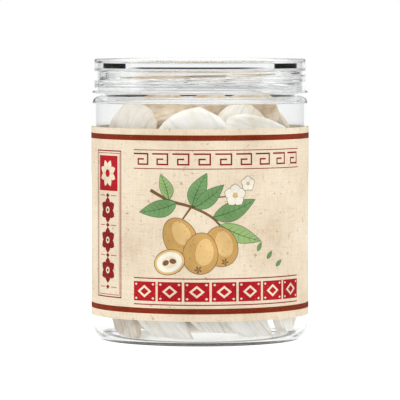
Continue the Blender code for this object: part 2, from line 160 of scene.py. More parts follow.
# %% Helpers for meshes
def finish(bm, name, material, body, crease=32):
    """An object of the bmesh that rides on a body and takes a slot. Edges past the crease stay sharp."""
    for edge in bm.edges:
        edge.smooth = edge.calc_face_angle(0.0) < math.radians(crease)
    mesh = bpy.data.meshes.new(name)
    bm.to_mesh(mesh)
    bm.free()
    made = bpy.data.objects.new(name, mesh)
    bpy.context.scene.collection.objects.link(made)
    mesh.materials.append(material)
    for face in mesh.polygons:
        face.use_smooth = True
    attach(made, body)
    return made


def arc(centre, radii, start, end, steps):
    """Points of an ellipse's arc in the (radius, height) plane, angles in degrees."""
    return [
        (
            centre[0] + radii[0] * math.cos(math.radians(start + (end - start) * k / steps)),
            centre[1] + radii[1] * math.sin(math.radians(start + (end - start) * k / steps)),
        )
        for k in range(steps + 1)
    ]


def climb(radius, low, high, step):
    """Points up a plain wall, close enough together to take a raised thread."""
    count = max(1, round(abs(high - low) / step))
    return [(radius, low + (high - low) * k / count) for k in range(1, count)]


def held(profile, near=0.05 * MM, least=0.8 * MM):
    """The profile with a point close to each end of its long straight runs.

    So they stay flat to the light where they meet a rounded corner."""
    points = [profile[0]]
    for a, b in zip(profile, profile[1:]):
        run = math.dist(a, b)
        if run > least:
            for share in (near / run, 1.0 - near / run):
                points.append(tuple(p + share * (q - p) for p, q in zip(a, b)))
        points.append(b)
    return points


def turned(profile, steps=ROUND_STEPS):
    """A closed body of revolution from a profile in the (radius, height) plane."""
    bm = bmesh.new()
    verts = [bm.verts.new((r, 0.0, z)) for r, z in held(profile)]
    edges = [bm.edges.new(pair) for pair in zip(verts, verts[1:])]
    bmesh.ops.spin(bm, geom=verts + edges, cent=(0, 0, 0), axis=(0, 0, 1), dvec=(0, 0, 0),
                   angle=math.tau, steps=steps, use_merge=True, use_duplicate=False)
    bmesh.ops.remove_doubles(bm, verts=bm.verts, dist=WELD)
    bmesh.ops.recalc_face_normals(bm, faces=bm.faces)
    return bm


def ring_of(inner, outer, low, high):
    """A flat-sided ring, such as a seal or a sleeve."""
    return turned([(inner, high), (outer, high), (outer, low), (inner, low), (inner, high)])


def raise_thread(bm, radius, start, height, sign):
    """Raises a helical ridge from a turned wall: out of the neck for sign +1, into the lid for -1."""
    for vert in bm.verts:
        r = math.hypot(vert.co.x, vert.co.y)
        if abs(r - radius) > 0.02 * MM:
            continue
        angle = math.atan2(vert.co.y, vert.co.x) % math.tau
        lift = 0.0
        for turn in range(3):
            along = angle + math.tau * turn
            if along > THREAD_TURNS * math.tau:
                continue
            ends = min(1.0, min(along, THREAD_TURNS * math.tau - along) / 0.7)
            off = (vert.co.z - start - THREAD_LEAD * along / math.tau) / height
            if abs(off) < 1.0:
                lift = max(lift, height * ends * math.sqrt(1.0 - off * off))
        if lift:
            share = (r + sign * lift) / r
            vert.co.x *= share
            vert.co.y *= share


# %% [markdown]
# ## The jar
# The jar is stretch-blown from clear polyester: a thin even wall, a domed foot that stands on a ring,
# a flat shoulder and a neck with one moulded thread. A single shell with a thin-glass shader would be
# quicker, but it bends no light. So the jar is turned from one closed section, inside and out, and light
# bends through a wall of the real thickness. The thread is raised from the neck by a formula.

# %% Jar
RIM_ROUND = 0.7 * MM
THREAD_STEP = 0.3 * MM
WALL_STEP = 8 * MM


def foot_line(raise_by, reach, steps=14):
    return [
        (reach * k / steps, raise_by + 0.5 * PUSH_UP * (1.0 + math.cos(math.pi * k / steps)))
        for k in range(steps + 1)
    ]


def jar_section():
    corner = BODY_R - JAR_WALL
    inner_neck = NECK_R - NECK_WALL
    inside = foot_line(JAR_WALL, FOOT_R - JAR_WALL)
    heel = (corner - FOOT_R + JAR_WALL, FOOT_CORNER - JAR_WALL)
    inside += arc((FOOT_R - JAR_WALL, FOOT_CORNER), heel, -90, 0, 12)[1:]
    inside += climb(corner, FOOT_CORNER, SHOULDER_Z, WALL_STEP)
    shoulder = (corner - inner_neck, SHOULDER_TOP - JAR_WALL - SHOULDER_Z)
    inside += arc((inner_neck, SHOULDER_Z), shoulder, 0, 90, 12)
    rim = arc((NECK_R - RIM_ROUND, NECK_TOP - RIM_ROUND), (RIM_ROUND, RIM_ROUND), 180, 0, 10)
    outside = climb(NECK_R, NECK_TOP - RIM_ROUND, SHOULDER_TOP, THREAD_STEP)
    outside += arc((NECK_R, SHOULDER_Z), (BODY_R - NECK_R, SHOULDER_TOP - SHOULDER_Z), 90, 0, 12)
    outside += climb(BODY_R, SHOULDER_Z, FOOT_CORNER, WALL_STEP)
    outside += arc((FOOT_R, FOOT_CORNER), (BODY_R - FOOT_R, FOOT_CORNER), 0, -90, 14)
    outside += foot_line(0.0, FOOT_R - 1.5 * MM)[::-1]
    return inside + rim + outside


def clear_plastic(name, ior, tint, roughness):
    """Clear plastic that refracts what is seen, and lets light that falls on the slices straight through."""
    material, shader = shader_of(name)
    shader.inputs["Base Color"].default_value = (*tint, 1.0)
    shader.inputs["Roughness"].default_value = roughness
    shader.inputs["IOR"].default_value = ior
    shader.inputs["Transmission Weight"].default_value = 1.0
    tree = material.node_tree
    path = add_node(tree, "ShaderNodeLightPath")
    through = add_node(tree, "ShaderNodeBsdfTransparent")
    through.inputs["Color"].default_value = (0.96, 0.965, 0.96, 1.0)
    either = math_node(tree, "MAXIMUM", path.outputs["Is Shadow Ray"], path.outputs["Is Diffuse Ray"])
    blend = add_node(tree, "ShaderNodeMixShader")
    tree.links.new(either, blend.inputs[0])
    tree.links.new(shader.outputs[0], blend.inputs[1])
    tree.links.new(through.outputs[0], blend.inputs[2])
    output = next(n for n in tree.nodes if n.type == "OUTPUT_MATERIAL")
    tree.links.new(blend.outputs[0], output.inputs["Surface"])
    return material


pet = clear_plastic("clear_pet", 1.5, (0.985, 0.992, 0.99), 0.0)
jar_mesh = turned(jar_section())
raise_thread(jar_mesh, NECK_R, NECK_THREAD_Z, THREAD_H, 1.0)
jar = finish(jar_mesh, "jar_clear", pet, "jar_body")
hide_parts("jar")
print("jar", len(jar.data.polygons), "faces")


# %% [markdown]
# ## The lid and its seal
# The lid is injection-moulded from harder clear plastic, thicker than the jar: a flat plate that lies below
# the top edge, a skirt with the matching inner thread and a thin flange. It is turned as the jar is. From the
# side, its plate is a solid disc that gathers light like a lens, which gives the dark bars at its ends. The
# soft ring under the plate shows as a pale line.

# %% Lid
def lid_section():
    panel = LID_TOP - PANEL_DEPTH
    under = panel - LID_PLATE
    flange_top = LID_BOTTOM + FLANGE_THICK
    points = [(0.0, panel)]
    points += arc((PANEL_R - 0.4 * MM, panel + 0.4 * MM), (0.4 * MM, 0.4 * MM), -90, -20, 5)
    crest = (PANEL_R + PANEL_SLOPE + 0.25 * MM, LID_TOP - 0.25 * MM)
    points += arc(crest, (0.25 * MM, 0.25 * MM), 160, 90, 5)
    points += arc((LID_R - LID_EDGE, LID_TOP - LID_EDGE), (LID_EDGE, LID_EDGE), 90, 0, 10)
    points += [(LID_R, flange_top + 0.3 * MM)]
    points += arc((FLANGE_R - 0.35 * MM, LID_BOTTOM + 0.35 * MM), (0.35 * MM, 0.35 * MM), 90, -90, 8)
    points += [(LID_INNER_R, LID_BOTTOM)]
    points += climb(LID_INNER_R, LID_BOTTOM, under - LID_EDGE, THREAD_STEP)
    points += arc((LID_INNER_R - LID_EDGE, under - LID_EDGE), (LID_EDGE, LID_EDGE), 0, 90, 8)
    points += [(0.0, under)]
    return points


styrene = clear_plastic("clear_styrene", 1.57, (0.985, 0.99, 0.99), 0.0)
lid_mesh = turned(lid_section())
raise_thread(lid_mesh, LID_INNER_R, LID_THREAD_Z, THREAD_H, -1.0)
lid = finish(lid_mesh, "lid_clear", styrene, "lid_body")
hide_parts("lid")

seal_material, seal_shader = shader_of("seal_gum")
seal_shader.inputs["Base Color"].default_value = (0.93, 0.93, 0.92, 1.0)
seal_shader.inputs["Roughness"].default_value = 0.35
seal_shader.inputs["Transmission Weight"].default_value = 0.6
seal_shader.inputs["IOR"].default_value = 1.4
seal = finish(ring_of(SEAL_IN, SEAL_OUT, SEAL_LOW, SEAL_HIGH), "seal_soft", seal_material, "seal")
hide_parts("seal_ring")
print("lid", len(lid.data.polygons), "faces")

# %% [markdown]
# ## The slices
# Each slice is cut on the slant from the peeled root and dried, which leaves a chalky face with fine drawn
# lines along its length, a cream flush and a yellower rim. A flat picture of that would slide over the cut
# faces, so noise stretched along each slice's own length draws it instead. Every slice starts from its CAD
# solid: the points are welded, a crease holds the cut faces flat while subdivision rounds the rim, and the
# same kind of noise then draws its faces into shallow furrows.

# %% Grain and masks of the slices
yam, yam_shader = shader_of("dried_yam")
tree = yam.node_tree
grain_map = coordinates(tree, "UV")
space = coordinates(tree)
furrow = noise_node(tree, stretched(tree, grain_map, (45.0, 620.0, 1.0)), 1.0, 4.0, 0.6)
hair = noise_node(tree, stretched(tree, grain_map, (70.0, 2200.0, 1.0)), 1.0, 3.0, 0.6)
broad = noise_node(tree, space, 85.0, 3.0)
chalk = noise_node(tree, space, 1500.0, 3.0, 0.7)


def slice_mask(name):
    """A number that dress_slice writes on each point of a slice."""
    made = add_node(tree, "ShaderNodeAttribute", attribute_name=name)
    return made.outputs["Fac"]


def line_strength(share, least):
    """Every slice shows a little of its lines, and a lined one shows more."""
    return math_node(tree, "ADD", math_node(tree, "MULTIPLY", slice_mask("lined"), share), least)


print("grain and masks in", len(tree.nodes), "nodes")

# %% Colours of the slices
WHITE = (1.0, 1.0, 1.0)
WHITE_FLESH = ((0.34, (0.90, 0.84, 0.73)), (0.46, (0.955, 0.935, 0.885)), (0.6, (0.975, 0.968, 0.95)))
GREY_FLESH_AND_SHADE = ((0.36, (0.52, 0.43, 0.34)), (0.52, (0.70, 0.61, 0.52)), (0.66, (0.82, 0.75, 0.67)))
TAN_FLESH_AND_SHADE = ((0.36, (0.46, 0.30, 0.16)), (0.6, (0.72, 0.55, 0.36)))
DRAWN_LINE = ((0.36, (0.66, 0.55, 0.44)), (0.44, (0.90, 0.86, 0.80)), (0.52, WHITE))
HAIR_LINE = ((0.34, (0.80, 0.75, 0.68)), (0.46, WHITE), (1.0, WHITE))
CHALK_DUST = ((0.30, (0.86, 0.84, 0.80)), (0.46, WHITE), (1.0, WHITE))
YELLOW_RIM = (0.80, 0.66, 0.45)
white = ramp_node(tree, broad, WHITE_FLESH)
grey = ramp_node(tree, broad, GREY_FLESH_AND_SHADE)
tan = ramp_node(tree, broad, TAN_FLESH_AND_SHADE)
# The grey and tan flesh are the slices' own colours, and on the slices that lie in shade they are painted
# shade as well.
colour = mix_node(tree, slice_mask("grey_tone_and_shade"), white, grey)
colour = mix_node(tree, slice_mask("tan_flush_and_shade"), colour, tan)
colour = mix_node(tree, math_node(tree, "MULTIPLY", slice_mask("rim"), 0.35), colour, YELLOW_RIM)
drawn = ramp_node(tree, furrow, DRAWN_LINE)
colour = mix_node(tree, line_strength(0.55, 0.22), colour, drawn, "MULTIPLY")
fine = ramp_node(tree, hair, HAIR_LINE)
colour = mix_node(tree, line_strength(0.4, 0.15), colour, fine, "MULTIPLY")
dusty = ramp_node(tree, chalk, CHALK_DUST)
tree.links.new(mix_node(tree, 0.3, colour, dusty, "MULTIPLY"), yam_shader.inputs["Base Color"])
print("white, grey and tan flesh mixed in", len(tree.nodes), "nodes")

# %% Surface of the slices
yam_shader.inputs["Roughness"].default_value = 0.85
yam_shader.inputs["Specular IOR Level"].default_value = 0.2
relief = math_node(tree, "ADD", furrow, math_node(tree, "MULTIPLY", hair, 0.35))
relief = math_node(tree, "ADD", relief, math_node(tree, "MULTIPLY", chalk, 0.18))
tree.links.new(bump_node(tree, relief, 0.6, 0.5 * MM), yam_shader.inputs["Normal"])
print("dried yam has", len(tree.nodes), "nodes")


# %% The lie of a slice
def principal_axes(points):
    """A slice's own length and width directions, by power iteration on its spread."""
    centre = sum(points, Vector()) / len(points)
    spread = Matrix(((0, 0, 0), (0, 0, 0), (0, 0, 0)))
    for p in points:
        d = p - centre
        spread += Matrix([[d[i] * d[j] for j in range(3)] for i in range(3)])
    length = Vector((0.31, 0.52, 0.79))
    for _ in range(60):
        length = (spread @ length).normalized()
    reach = (spread @ length).length
    flat = spread - Matrix([[length[i] * length[j] * reach for j in range(3)] for i in range(3)])
    width = Vector((0.83, -0.41, 0.27))
    for _ in range(60):
        width = (flat @ width).normalized()
    return centre, length, width


# %% Slices
# How grey, how tan and how lined the slices in sight of the front are; the others are drawn by chance.
# The grey and tan given here are partly the slices' own colour and partly painted shade, most of all on the
# darkest ones, slice_06 and slices 46 to 48, which are painted dark for the shade they lie in.
KNOWN = {
    "slice_01": (0.05, 0.02, 0.30), "slice_02": (0.0, 0.10, 0.80), "slice_03": (0.75, 0.05, 0.95),
    "slice_04": (0.0, 0.0, 0.70), "slice_05": (0.35, 0.0, 0.35), "slice_06": (0.9, 0.15, 0.4),
    "slice_12": (0.0, 0.04, 0.10), "slice_13": (0.0, 0.0, 0.05), "slice_14": (0.50, 0.08, 0.30),
    "slice_15": (0.12, 0.12, 0.30), "slice_46": (0.7, 0.70, 0.4), "slice_47": (0.6, 0.65, 0.3),
    "slice_48": (0.7, 0.75, 0.4),
}
TONES = (0.0, 0.0, 0.1, 0.3, 0.6)
FLUSHES = (0.0, 0.05, 0.1, 0.4)
FINE_LEVELS, PLAIN_LEVELS = 3, 2
RIM_CREASE, RIM_ANGLE = 0.8, 28
FURROW, SWELL, NIBBLE, DRAWN_IN = 0.16 * MM, 0.25 * MM, 0.07 * MM, 0.05 * MM


def rounded_copy(source, levels):
    """The solid's points welded, its hard rims creased and its form subdivided."""
    bm = bmesh.new()
    bm.from_mesh(source.data)
    bmesh.ops.remove_doubles(bm, verts=bm.verts, dist=0.02 * MM)
    bmesh.ops.recalc_face_normals(bm, faces=bm.faces)
    crease = bm.edges.layers.float.new("crease_edge")
    for edge in bm.edges:
        edge[crease] = RIM_CREASE if edge.calc_face_angle(0.0) > math.radians(RIM_ANGLE) else 0.0
    mesh = bpy.data.meshes.new(source.name + "_rough")
    bm.to_mesh(mesh)
    bm.free()
    rough = bpy.data.objects.new(source.name + "_rough", mesh)
    bpy.context.scene.collection.objects.link(rough)
    rounded = rough.modifiers.new("Round", "SUBSURF")
    rounded.levels = rounded.render_levels = levels
    bpy.context.view_layer.update()
    smooth = bpy.data.meshes.new_from_object(rough.evaluated_get(bpy.context.evaluated_depsgraph_get()))
    bpy.data.objects.remove(rough)
    bm = bmesh.new()
    bm.from_mesh(smooth)
    return bm


def dress_slice(name, rng):
    """A slice rounded and furrowed, with its grey and tan (partly painted shade), its lines and its own grain
    direction on its points.
    """
    bm = rounded_copy(nodes[name], FINE_LEVELS if name in KNOWN else PLAIN_LEVELS)
    centre, length, width = principal_axes([v.co.copy() for v in bm.verts])
    across = length.cross(width)
    seed = Vector((rng.uniform(0, 9), rng.uniform(0, 9), rng.uniform(0, 9)))
    flat = bm.loops.layers.uv.new("grain")
    layers = [bm.verts.layers.float.new(mask) for mask in ("grey_tone_and_shade", "tan_flush_and_shade", "lined", "rim")]
    by_chance = (rng.choice(TONES), rng.choice(FLUSHES), rng.uniform(0.1, 0.9))
    # On a slice in sight, its grey and tan are partly painted shade; on the others, drawn by chance, they are
    # its own colour.
    grey_tone_and_shade, tan_flush_and_shade, lined = KNOWN.get(name, by_chance)
    moves = []
    for v in bm.verts:
        d = v.co - centre
        u, w, t = d.dot(length), d.dot(width), d.dot(across)
        furrow = noise.noise(seed + Vector((u * 50.0, w * 480.0, t * 60.0)))
        swell = noise.noise(seed + Vector((u, w, t)) * 110.0)
        nibble = noise.noise(seed + Vector((u, w, t)) * 420.0)
        moves.append(v.normal * (FURROW * furrow + SWELL * swell + NIBBLE * nibble - DRAWN_IN))
        side = 1.0 - min(1.0, abs(v.normal.dot(across)) / 0.8)
        values = (grey_tone_and_shade + 0.30 * grey_tone_and_shade * swell, tan_flush_and_shade + 0.9 * tan_flush_and_shade * nibble, lined, side)
        for layer, value in zip(layers, values):
            v[layer] = max(0.0, min(1.0, value))
    for v, move in zip(bm.verts, moves):
        v.co += move
    for face in bm.faces:
        for loop in face.loops:
            d = loop.vert.co - centre
            loop[flat].uv = (d.dot(length) + seed.x * 0.1, d.dot(width) + seed.y * 0.1)
    made = finish(bm, name + "_dried", yam, "jar_body", crease=70)
    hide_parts(name)
    return made


slice_rng = random.Random(7)
dried = [dress_slice(name, slice_rng) for name in slice_names]
print(len(dried), "slices,", sum(len(o.data.polygons) for o in dried), "faces")

# %% [markdown]
# ## The label
# One sheet of tan fibre paper goes round the jar. Its fibres could be a picture, but a node group of noises
# stays sharp at any distance, and the inks use the same group, so that the paper shows through them.
# Each mark of the print is drawn flat, in millimetres round from the front (u) and up the jar (z), then cut
# into narrow strips and wrapped on the sheet. Marks of one ink are one object. Later marks lie a few
# thousandths of a millimetre further out, so that they cover earlier ones as one ink covers another.

# %% Paper grain, shared by the sheet and its inks
SHEET_R = LABEL_OUT
STRIP = 0.9 * MM
LAYER = 0.005 * MM


def new_group(name, outputs):
    """A shader node group with one vector input, called Map, and float outputs."""
    group = bpy.data.node_groups.new(name, "ShaderNodeTree")
    group.interface.new_socket("Map", in_out="INPUT", socket_type="NodeSocketVector")
    for output in outputs:
        group.interface.new_socket(output, in_out="OUTPUT", socket_type="NodeSocketFloat")
    return group, add_node(group, "NodeGroupInput"), add_node(group, "NodeGroupOutput")


def smooth_step(tree, value, low, high):
    made = add_node(tree, "ShaderNodeMapRange", interpolation_type="SMOOTHSTEP")
    made.inputs["From Min"].default_value = low
    made.inputs["From Max"].default_value = high
    tree.links.new(value, made.inputs["Value"])
    return made.outputs["Result"]


def fibre_lines(tree, vector, scale, width, share):
    """Thin curved fibres: the level lines of one noise, broken up by another."""
    level = noise_node(tree, vector, scale, 1.0, 0.4)
    away = math_node(tree, "ABSOLUTE", math_node(tree, "SUBTRACT", level, 0.5))
    line = smooth_step(tree, away, width, 0.2 * width)
    broken = smooth_step(tree, noise_node(tree, vector, scale * 1.7, 1.0, 0.4), share, share + 0.04)
    return math_node(tree, "MULTIPLY", line, broken)


GRAIN = ("Cloud", "Dark Fibre", "Pale Fibre", "Thread", "Grit")
grain_group, grain_in, grain_out = new_group("paper_grain", GRAIN)
sheet_map = grain_in.outputs["Map"]
cloud = noise_node(grain_group, sheet_map, 38.0, 4.0, 0.6)
flattened = stretched(grain_group, sheet_map, (1.0, 2.2, 1.0))
dark_fibre = math_node(grain_group, "MAXIMUM", fibre_lines(grain_group, sheet_map, 260.0, 0.020, 0.60),
                       fibre_lines(grain_group, flattened, 330.0, 0.018, 0.62))
pale_fibre = fibre_lines(grain_group, stretched(grain_group, sheet_map, (1.6, 1.0, 1.0)), 420.0, 0.03, 0.55)
across = noise_node(grain_group, stretched(grain_group, sheet_map, (110.0, 2100.0, 1.0)), 1.0, 2.0)
upright = noise_node(grain_group, stretched(grain_group, sheet_map, (1900.0, 130.0, 1.0)), 1.0, 2.0)
thread = math_node(grain_group, "MULTIPLY", math_node(grain_group, "ADD", across, upright), 0.5)
grit = noise_node(grain_group, sheet_map, 2200.0, 2.0)
for socket, value in zip(grain_out.inputs, (cloud, dark_fibre, pale_fibre, thread, grit)):
    grain_group.links.new(value, socket)


def with_grain(tree):
    """Places the paper's grain in a material, on its own flat map of the sheet."""
    made = add_node(tree, "ShaderNodeGroup", node_tree=grain_group)
    tree.links.new(coordinates(tree, "UV"), made.inputs["Map"])
    return made.outputs


print("paper grain has", len(grain_group.nodes), "nodes")

# %% Paper
paper, paper_shader = shader_of("label_paper")
tree = paper.node_tree
grain = with_grain(tree)
TAN_PAPER = ((0.28, (0.555, 0.435, 0.300)), (0.42, (0.645, 0.540, 0.400)), (0.56, (0.690, 0.595, 0.455)),
             (0.74, (0.715, 0.635, 0.510)))
WOVEN = ((0.36, (0.90, 0.875, 0.835)), (0.50, WHITE), (0.62, (1.05, 1.04, 1.03)))
DARK_SPECK = ((0.25, (0.82, 0.79, 0.74)), (0.42, WHITE), (1.0, WHITE))
ground = ramp_node(tree, grain["Cloud"], TAN_PAPER)
woven = ramp_node(tree, grain["Thread"], WOVEN)
colour = mix_node(tree, 0.85, ground, woven, "MULTIPLY")
colour = mix_node(tree, math_node(tree, "MULTIPLY", grain["Dark Fibre"], 0.55), colour, (0.24, 0.15, 0.075))
colour = mix_node(tree, math_node(tree, "MULTIPLY", grain["Pale Fibre"], 0.45), colour, (0.78, 0.68, 0.52))
gritty = ramp_node(tree, grain["Grit"], DARK_SPECK)
tree.links.new(mix_node(tree, 0.7, colour, gritty, "MULTIPLY"), paper_shader.inputs["Base Color"])
paper_shader.inputs["Roughness"].default_value = 0.82
paper_shader.inputs["Specular IOR Level"].default_value = 0.3
height = math_node(tree, "ADD", grain["Thread"], math_node(tree, "MULTIPLY", grain["Pale Fibre"], 0.4))
tree.links.new(bump_node(tree, height, 0.25, 0.12 * MM), paper_shader.inputs["Normal"])
print("paper has", len(tree.nodes), "nodes")


# %% Ink
def ink_of(name, colour, wear=0.35):
    """A printed ink: its own colour, a little of the paper's mottle, and pinholes where grit shows."""
    material, shader = shader_of(name)
    tree = material.node_tree
    grain = with_grain(tree)
    lighter = tuple(min(1.0, 1.18 * c + 0.003) for c in colour)
    darker = tuple(0.84 * c for c in colour)
    mottled = ramp_node(tree, grain["Cloud"], ((0.38, darker), (0.62, lighter)))
    worn = math_node(tree, "MULTIPLY", smooth_step(tree, grain["Grit"], 0.36, 0.28), wear)
    tree.links.new(mix_node(tree, worn, mottled, (0.62, 0.50, 0.35)), shader.inputs["Base Color"])
    shader.inputs["Roughness"].default_value = 0.75
    shader.inputs["Specular IOR Level"].default_value = 0.06
    tree.links.new(bump_node(tree, grain["Thread"], 0.2, 0.1 * MM), shader.inputs["Normal"])
    return material


# %% The sheet
def map_of_sheet(bm):
    """A flat map of a ring: round from the front, and up, both in metres."""
    flat = bm.loops.layers.uv.new("sheet")
    for face in bm.faces:
        middle = face.calc_center_median()
        centre = math.atan2(middle.x, -middle.y)
        for loop in face.loops:
            angle = math.atan2(loop.vert.co.x, -loop.vert.co.y)
            angle += math.tau * round((centre - angle) / math.tau)
            loop[flat].uv = (angle * SHEET_R, loop.vert.co.z)


label_mesh = ring_of(LABEL_IN, LABEL_OUT, LABEL_LOW, LABEL_HIGH)
map_of_sheet(label_mesh)
label = finish(label_mesh, "label_sheet", paper, "jar_body")
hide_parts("label")
print("label sheet", len(label.data.polygons), "faces")


# %% Shapes for the print, in millimetres on the flat sheet
def placed(points, u, z, turn=0.0):
    c, s = math.cos(math.radians(turn)), math.sin(math.radians(turn))
    return [(u + x * c - y * s, z + x * s + y * c) for x, y in points]


def bar(u0, z0, u1, z1):
    return [(u0, z0), (u1, z0), (u1, z1), (u0, z1)]


def border(u0, z0, u1, z1, line):
    return [bar(u0, z0, u1, z0 + line), bar(u0, z1 - line, u1, z1),
            bar(u0, z0 + line, u0 + line, z1 - line), bar(u1 - line, z0 + line, u1, z1 - line)]


def lozenge(u, z, a, b):
    return [(u - a, z), (u, z - b), (u + a, z), (u, z + b)]


def oval(u, z, a, b, turn=0.0, egg=0.0, count=32):
    ring = [math.tau * k / count for k in range(count)]
    return placed([(a * math.cos(t), b * math.sin(t) * (1.0 + egg * math.cos(t))) for t in ring], u, z, turn)


def leaf(u, z, length, width, turn, bend=0.0, fullness=0.8, count=12):
    """A lance-shaped leaf that starts at (u, z) and bends to one side."""
    spine = [k / count for k in range(count + 1)]
    half = [0.5 * width * math.sin(math.pi * t ** fullness) for t in spine]
    drift = [bend * length * t * t for t in spine]
    upper = [(length * t, d + h) for t, d, h in zip(spine, drift, half)]
    lower = [(length * t, d - h) for t, d, h in zip(spine[-2:0:-1], drift[-2:0:-1], half[-2:0:-1])]
    return placed(upper + lower, u, z, turn)


def stroke(points, start, end, steps=5):
    """A tapering brush line through the points, smoothed between them."""
    path = []
    ends = [points[0]] + points + [points[-1]]
    for a, b, c, d in zip(ends, ends[1:], ends[2:], ends[3:]):
        for k in range(steps):
            t = k / steps
            path.append(tuple(
                0.5 * (2 * b[i] + (c[i] - a[i]) * t + (2 * a[i] - 5 * b[i] + 4 * c[i] - d[i]) * t * t
                       + (3 * b[i] - a[i] - 3 * c[i] + d[i]) * t ** 3) for i in (0, 1)))
    path.append(points[-1])
    left, right = [], []
    for k, (x, y) in enumerate(path):
        ahead, behind = path[min(k + 1, len(path) - 1)], path[max(k - 1, 0)]
        dx, dy = ahead[0] - behind[0], ahead[1] - behind[1]
        size = math.hypot(dx, dy) or 1.0
        half = 0.5 * (start + (end - start) * k / (len(path) - 1))
        left.append((x - dy / size * half, y + dx / size * half))
        right.append((x + dy / size * half, y - dx / size * half))
    return left + right[::-1]


def grown(outline, by):
    """The outline moved outwards, for a drawn edge round a filled shape."""
    area = sum(a[0] * b[1] - b[0] * a[1] for a, b in zip(outline, outline[1:] + outline[:1]))
    sign = 1.0 if area > 0 else -1.0
    moved = []
    for before, here, after in zip(outline[-1:] + outline[:-1], outline, outline[1:] + outline[:1]):
        dx, dy = after[0] - before[0], after[1] - before[1]
        size = math.hypot(dx, dy) or 1.0
        moved.append((here[0] + sign * by * dy / size, here[1] - sign * by * dx / size))
    return moved


def rosette(u, z, radius, count, width, turn=0.0):
    return [leaf(u, z, radius, width, turn + 360.0 * k / count, fullness=1.35, count=8) for k in range(count)]


# %% Wrapping the print on the sheet
def on_sheet(u, z, lift):
    """A point of the flat sheet on the jar. All marks follow the same narrow flats, so none cuts another."""
    radius = SHEET_R + lift
    k = math.floor(u / STRIP)
    share = u / STRIP - k
    a, b = k * STRIP / SHEET_R, (k + 1) * STRIP / SHEET_R
    x = radius * ((1.0 - share) * math.sin(a) + share * math.sin(b))
    y = -radius * ((1.0 - share) * math.cos(a) + share * math.cos(b))
    return Vector((x, y, z))


def print_ink(name, marks, material):
    """Marks are (layer, outline) pairs in millimetres."""
    bm = bmesh.new()
    level = bm.verts.layers.float.new("level")
    for layer, outline in marks:
        corners = [bm.verts.new((u * MM, 0.0, z * MM)) for u, z in outline]
        for corner in corners:
            corner[level] = layer
        bm.faces.new(corners)
    bmesh.ops.triangulate(bm, faces=bm.faces)
    edges = [v.co.x for v in bm.verts]
    for k in range(math.ceil(min(edges) / STRIP), math.floor(max(edges) / STRIP) + 1):
        bmesh.ops.bisect_plane(bm, geom=bm.verts[:] + bm.edges[:] + bm.faces[:], dist=1e-8,
                               plane_co=(k * STRIP, 0, 0), plane_no=(1, 0, 0))
    flat = bm.loops.layers.uv.new("sheet")
    for face in bm.faces:
        for loop in face.loops:
            loop[flat].uv = (loop.vert.co.x, loop.vert.co.z)
    for v in bm.verts:
        v.co = on_sheet(v.co.x, v.co.z, 0.02 * MM + LAYER * v[level])
    for face in bm.faces:
        face.normal_update()
        middle = face.calc_center_median()
        if face.normal.x * middle.x + face.normal.y * middle.y < 0:
            face.normal_flip()
    made = finish(bm, name, material, "jar_body", crease=60)
    print(name, len(marks), "marks,", len(made.data.polygons), "faces")
    return made


# %% [markdown]
# ## The print
# Two plain bands run right round. Between them a column of rosettes stands on the left, a fret runs along
# the top and a row of tiles along the bottom, and they frame a drawing of ripe loquats on a leafy twig.
# Each mark is a plain outline from a small function, so a repeated motif is one loop.

# %% Marks
INK_NAMES = ("band", "margin", "red", "deep_red", "cream", "ochre", "gold", "umber", "leaf", "pale_leaf",
             "vein", "white")
marks = {name: [] for name in INK_NAMES}
HALF_ROUND = math.pi * SHEET_R / MM


def add(ink, layer, *outlines):
    marks[ink] += [(layer, outline) for outline in outlines]


BAND_HEIGHTS = (79.37, 13.47)
MARGIN_HALF, BAND_HALF = 1.42, 1.05
for middle in BAND_HEIGHTS:
    add("margin", 0, bar(-HALF_ROUND, middle - MARGIN_HALF, HALF_ROUND, middle + MARGIN_HALF))
    add("band", 1, bar(-HALF_ROUND, middle - BAND_HALF, HALF_ROUND, middle + BAND_HALF))

COLUMN_U = -42.0
add("deep_red", 0, *border(-50.5, 17.6, -33.5, 74.2, 0.45))
add("deep_red", 0, *border(-49.5, 18.6, -34.5, 73.2, 0.22))
add("red", 0, bar(-48.4, 58.6, -35.6, 72.1))
add("cream", 1, *rosette(COLUMN_U, 65.3, 5.4, 8, 2.7, 22.5))
add("red", 2, oval(COLUMN_U, 65.3, 1.5, 1.5))
for z in (51.2, 39.6, 28.0):
    add("deep_red", 0, *rosette(COLUMN_U, z, 5.0, 6, 3.4, 30.0))
    add("cream", 1, oval(COLUMN_U, z, 1.3, 1.3))
    add("deep_red", 2, oval(COLUMN_U, z, 0.6, 0.6))
for z in (56.8, 45.4, 33.8, 21.6):
    add("deep_red", 0, bar(-47.6, z - 0.12, -44.2, z + 0.12), bar(-39.8, z - 0.12, -36.4, z + 0.12),
        lozenge(COLUMN_U, z, 1.3, 0.9))

FRAME_LEFT = -27.0
for k in range(9):
    u = FRAME_LEFT + 8.2 * k
    add("deep_red", 0, bar(u, 73.0, u + 6.6, 73.6), bar(u + 6.0, 69.6, u + 6.6, 73.0),
        bar(u + 1.8, 69.0, u + 6.6, 69.6), bar(u + 1.8, 69.6, u + 2.4, 71.6),
        bar(u + 2.4, 71.0, u + 4.6, 71.6))
add("deep_red", 0, bar(FRAME_LEFT, 74.6, 46.2, 74.9), bar(FRAME_LEFT, 67.5, 46.2, 67.8))

